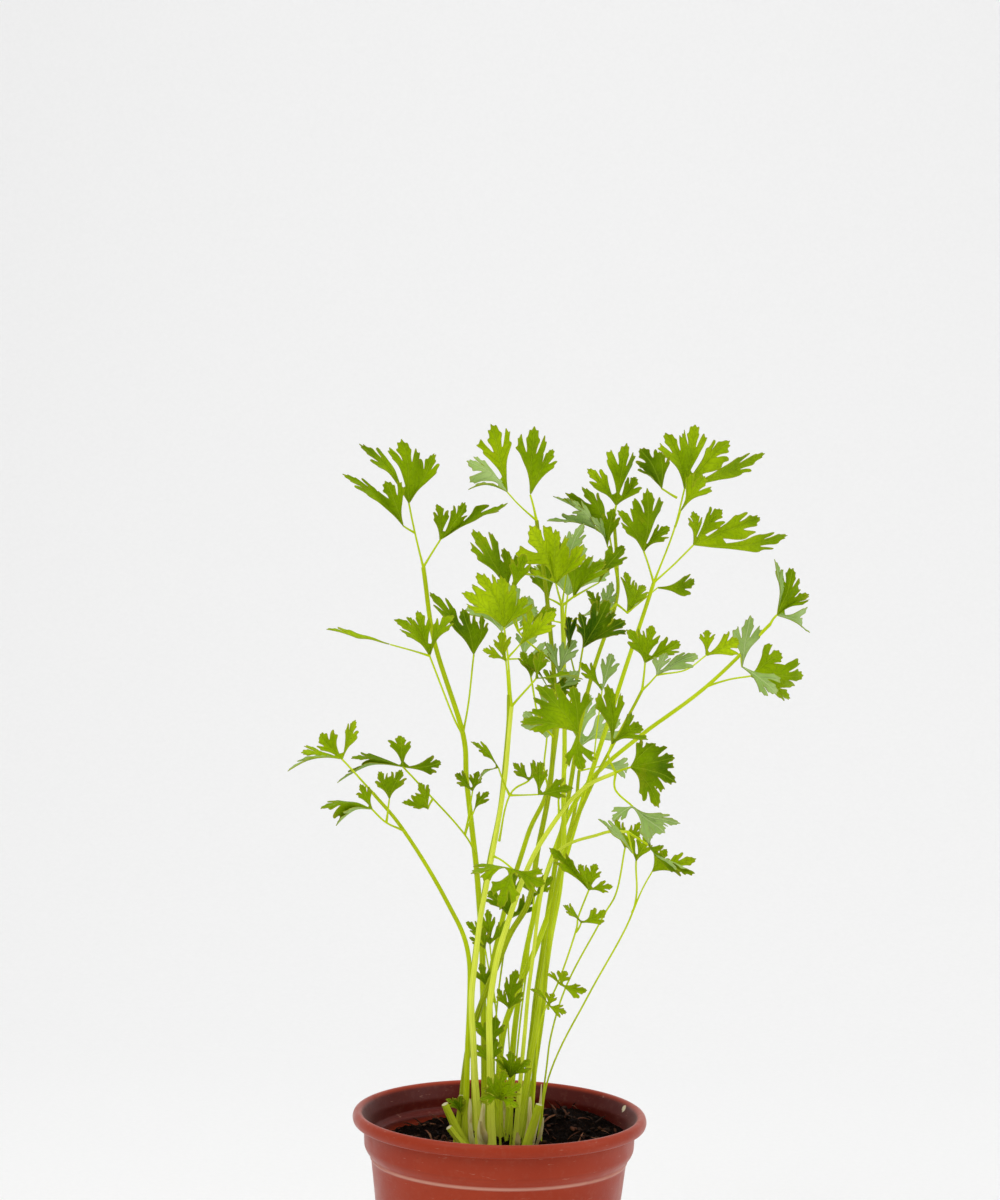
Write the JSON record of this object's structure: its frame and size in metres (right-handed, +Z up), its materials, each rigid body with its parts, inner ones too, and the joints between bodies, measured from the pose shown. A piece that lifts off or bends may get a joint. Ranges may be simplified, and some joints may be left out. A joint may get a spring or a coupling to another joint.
{
  "type": "potted parsley",
  "caption": "Flat-leaf parsley plant with tall branching stalks and lobed leaves, growing from a crown in potting mix in a round tapered nursery pot.",
  "frame": {"origin": "centre of the pot's flat base", "axes": "+Z up, -Y towards the side the plant is seen from, +X to the right of that view"},
  "size_m": [0.2273, 0.1534, 0.4171],
  "materials": {
    "pot": "moulded terracotta-coloured plastic, satin, slightly scuffed",
    "soil": "moist dark potting mix with bark shreds",
    "crown": "pale fleshy crown and cut stalk ends",
    "stalk": "smooth ribbed yellow-green stalks",
    "leaf": "glossy green upper side, paler matt underside"
  },
  "bodies": {
    "root": {"leaf_arching": "leaf", "leaf_back_left_top": "leaf", "leaf_back_low_top": "leaf", "leaf_back_middle_side": "leaf", "leaf_back_middle_top": "leaf", "leaf_back_right_flat": "leaf", "leaf_back_right_side": "leaf", "leaf_back_right_top": "leaf", "leaf_centre_bright": "leaf", "leaf_centre_dark": "leaf", "leaf_centre_left": "leaf", "leaf_centre_right": "leaf", "leaf_far_right_end": "leaf", "leaf_far_right_mid": "leaf", "leaf_far_right_veined": "leaf", "leaf_front_centre": "leaf", "leaf_front_left_low": "leaf", "leaf_front_left_right": "leaf", "leaf_front_left_top": "leaf", "leaf_front_right_fan": "leaf", "leaf_front_right_hanging": "leaf", "leaf_front_right_upper": "leaf", "leaf_front_star": "leaf", "leaf_inner_left": "leaf", "leaf_left_low": "leaf", "leaf_low_left_end": "leaf", "leaf_low_left_side": "leaf", "leaf_mid_right": "leaf", "leaf_tall_left_east": "leaf", "leaf_tall_left_mid": "leaf", "leaf_tall_left_top": "leaf", "leaf_tall_left_west": "leaf", "leaf_tall_right_crown": "leaf", "leaf_tall_right_east": "leaf", "leaf_tall_right_inner": "leaf", "leaf_tall_right_west": "leaf", "leaf_top_centre": "leaf", "pot": "pot", "root_crown": "crown", "soil": "soil", "stalk_arching": "stalk", "stalk_back_left": "stalk", "stalk_back_low": "stalk", "stalk_back_middle": "stalk", "stalk_back_right": "stalk", "stalk_centre": "stalk", "stalk_crossing": "stalk", "stalk_far_right": "stalk", "stalk_front_left": "stalk", "stalk_front_right": "stalk", "stalk_low_left": "stalk", "stalk_mid_right": "stalk", "stalk_tall_left": "stalk", "stalk_tall_right": "stalk", "young_leaf_back": "leaf", "young_leaf_bright": "leaf", "young_leaf_inner": "leaf", "young_leaf_left": "leaf", "young_leaf_middle": "leaf", "young_leaf_right": "leaf"}
  },
  "joints": []
}
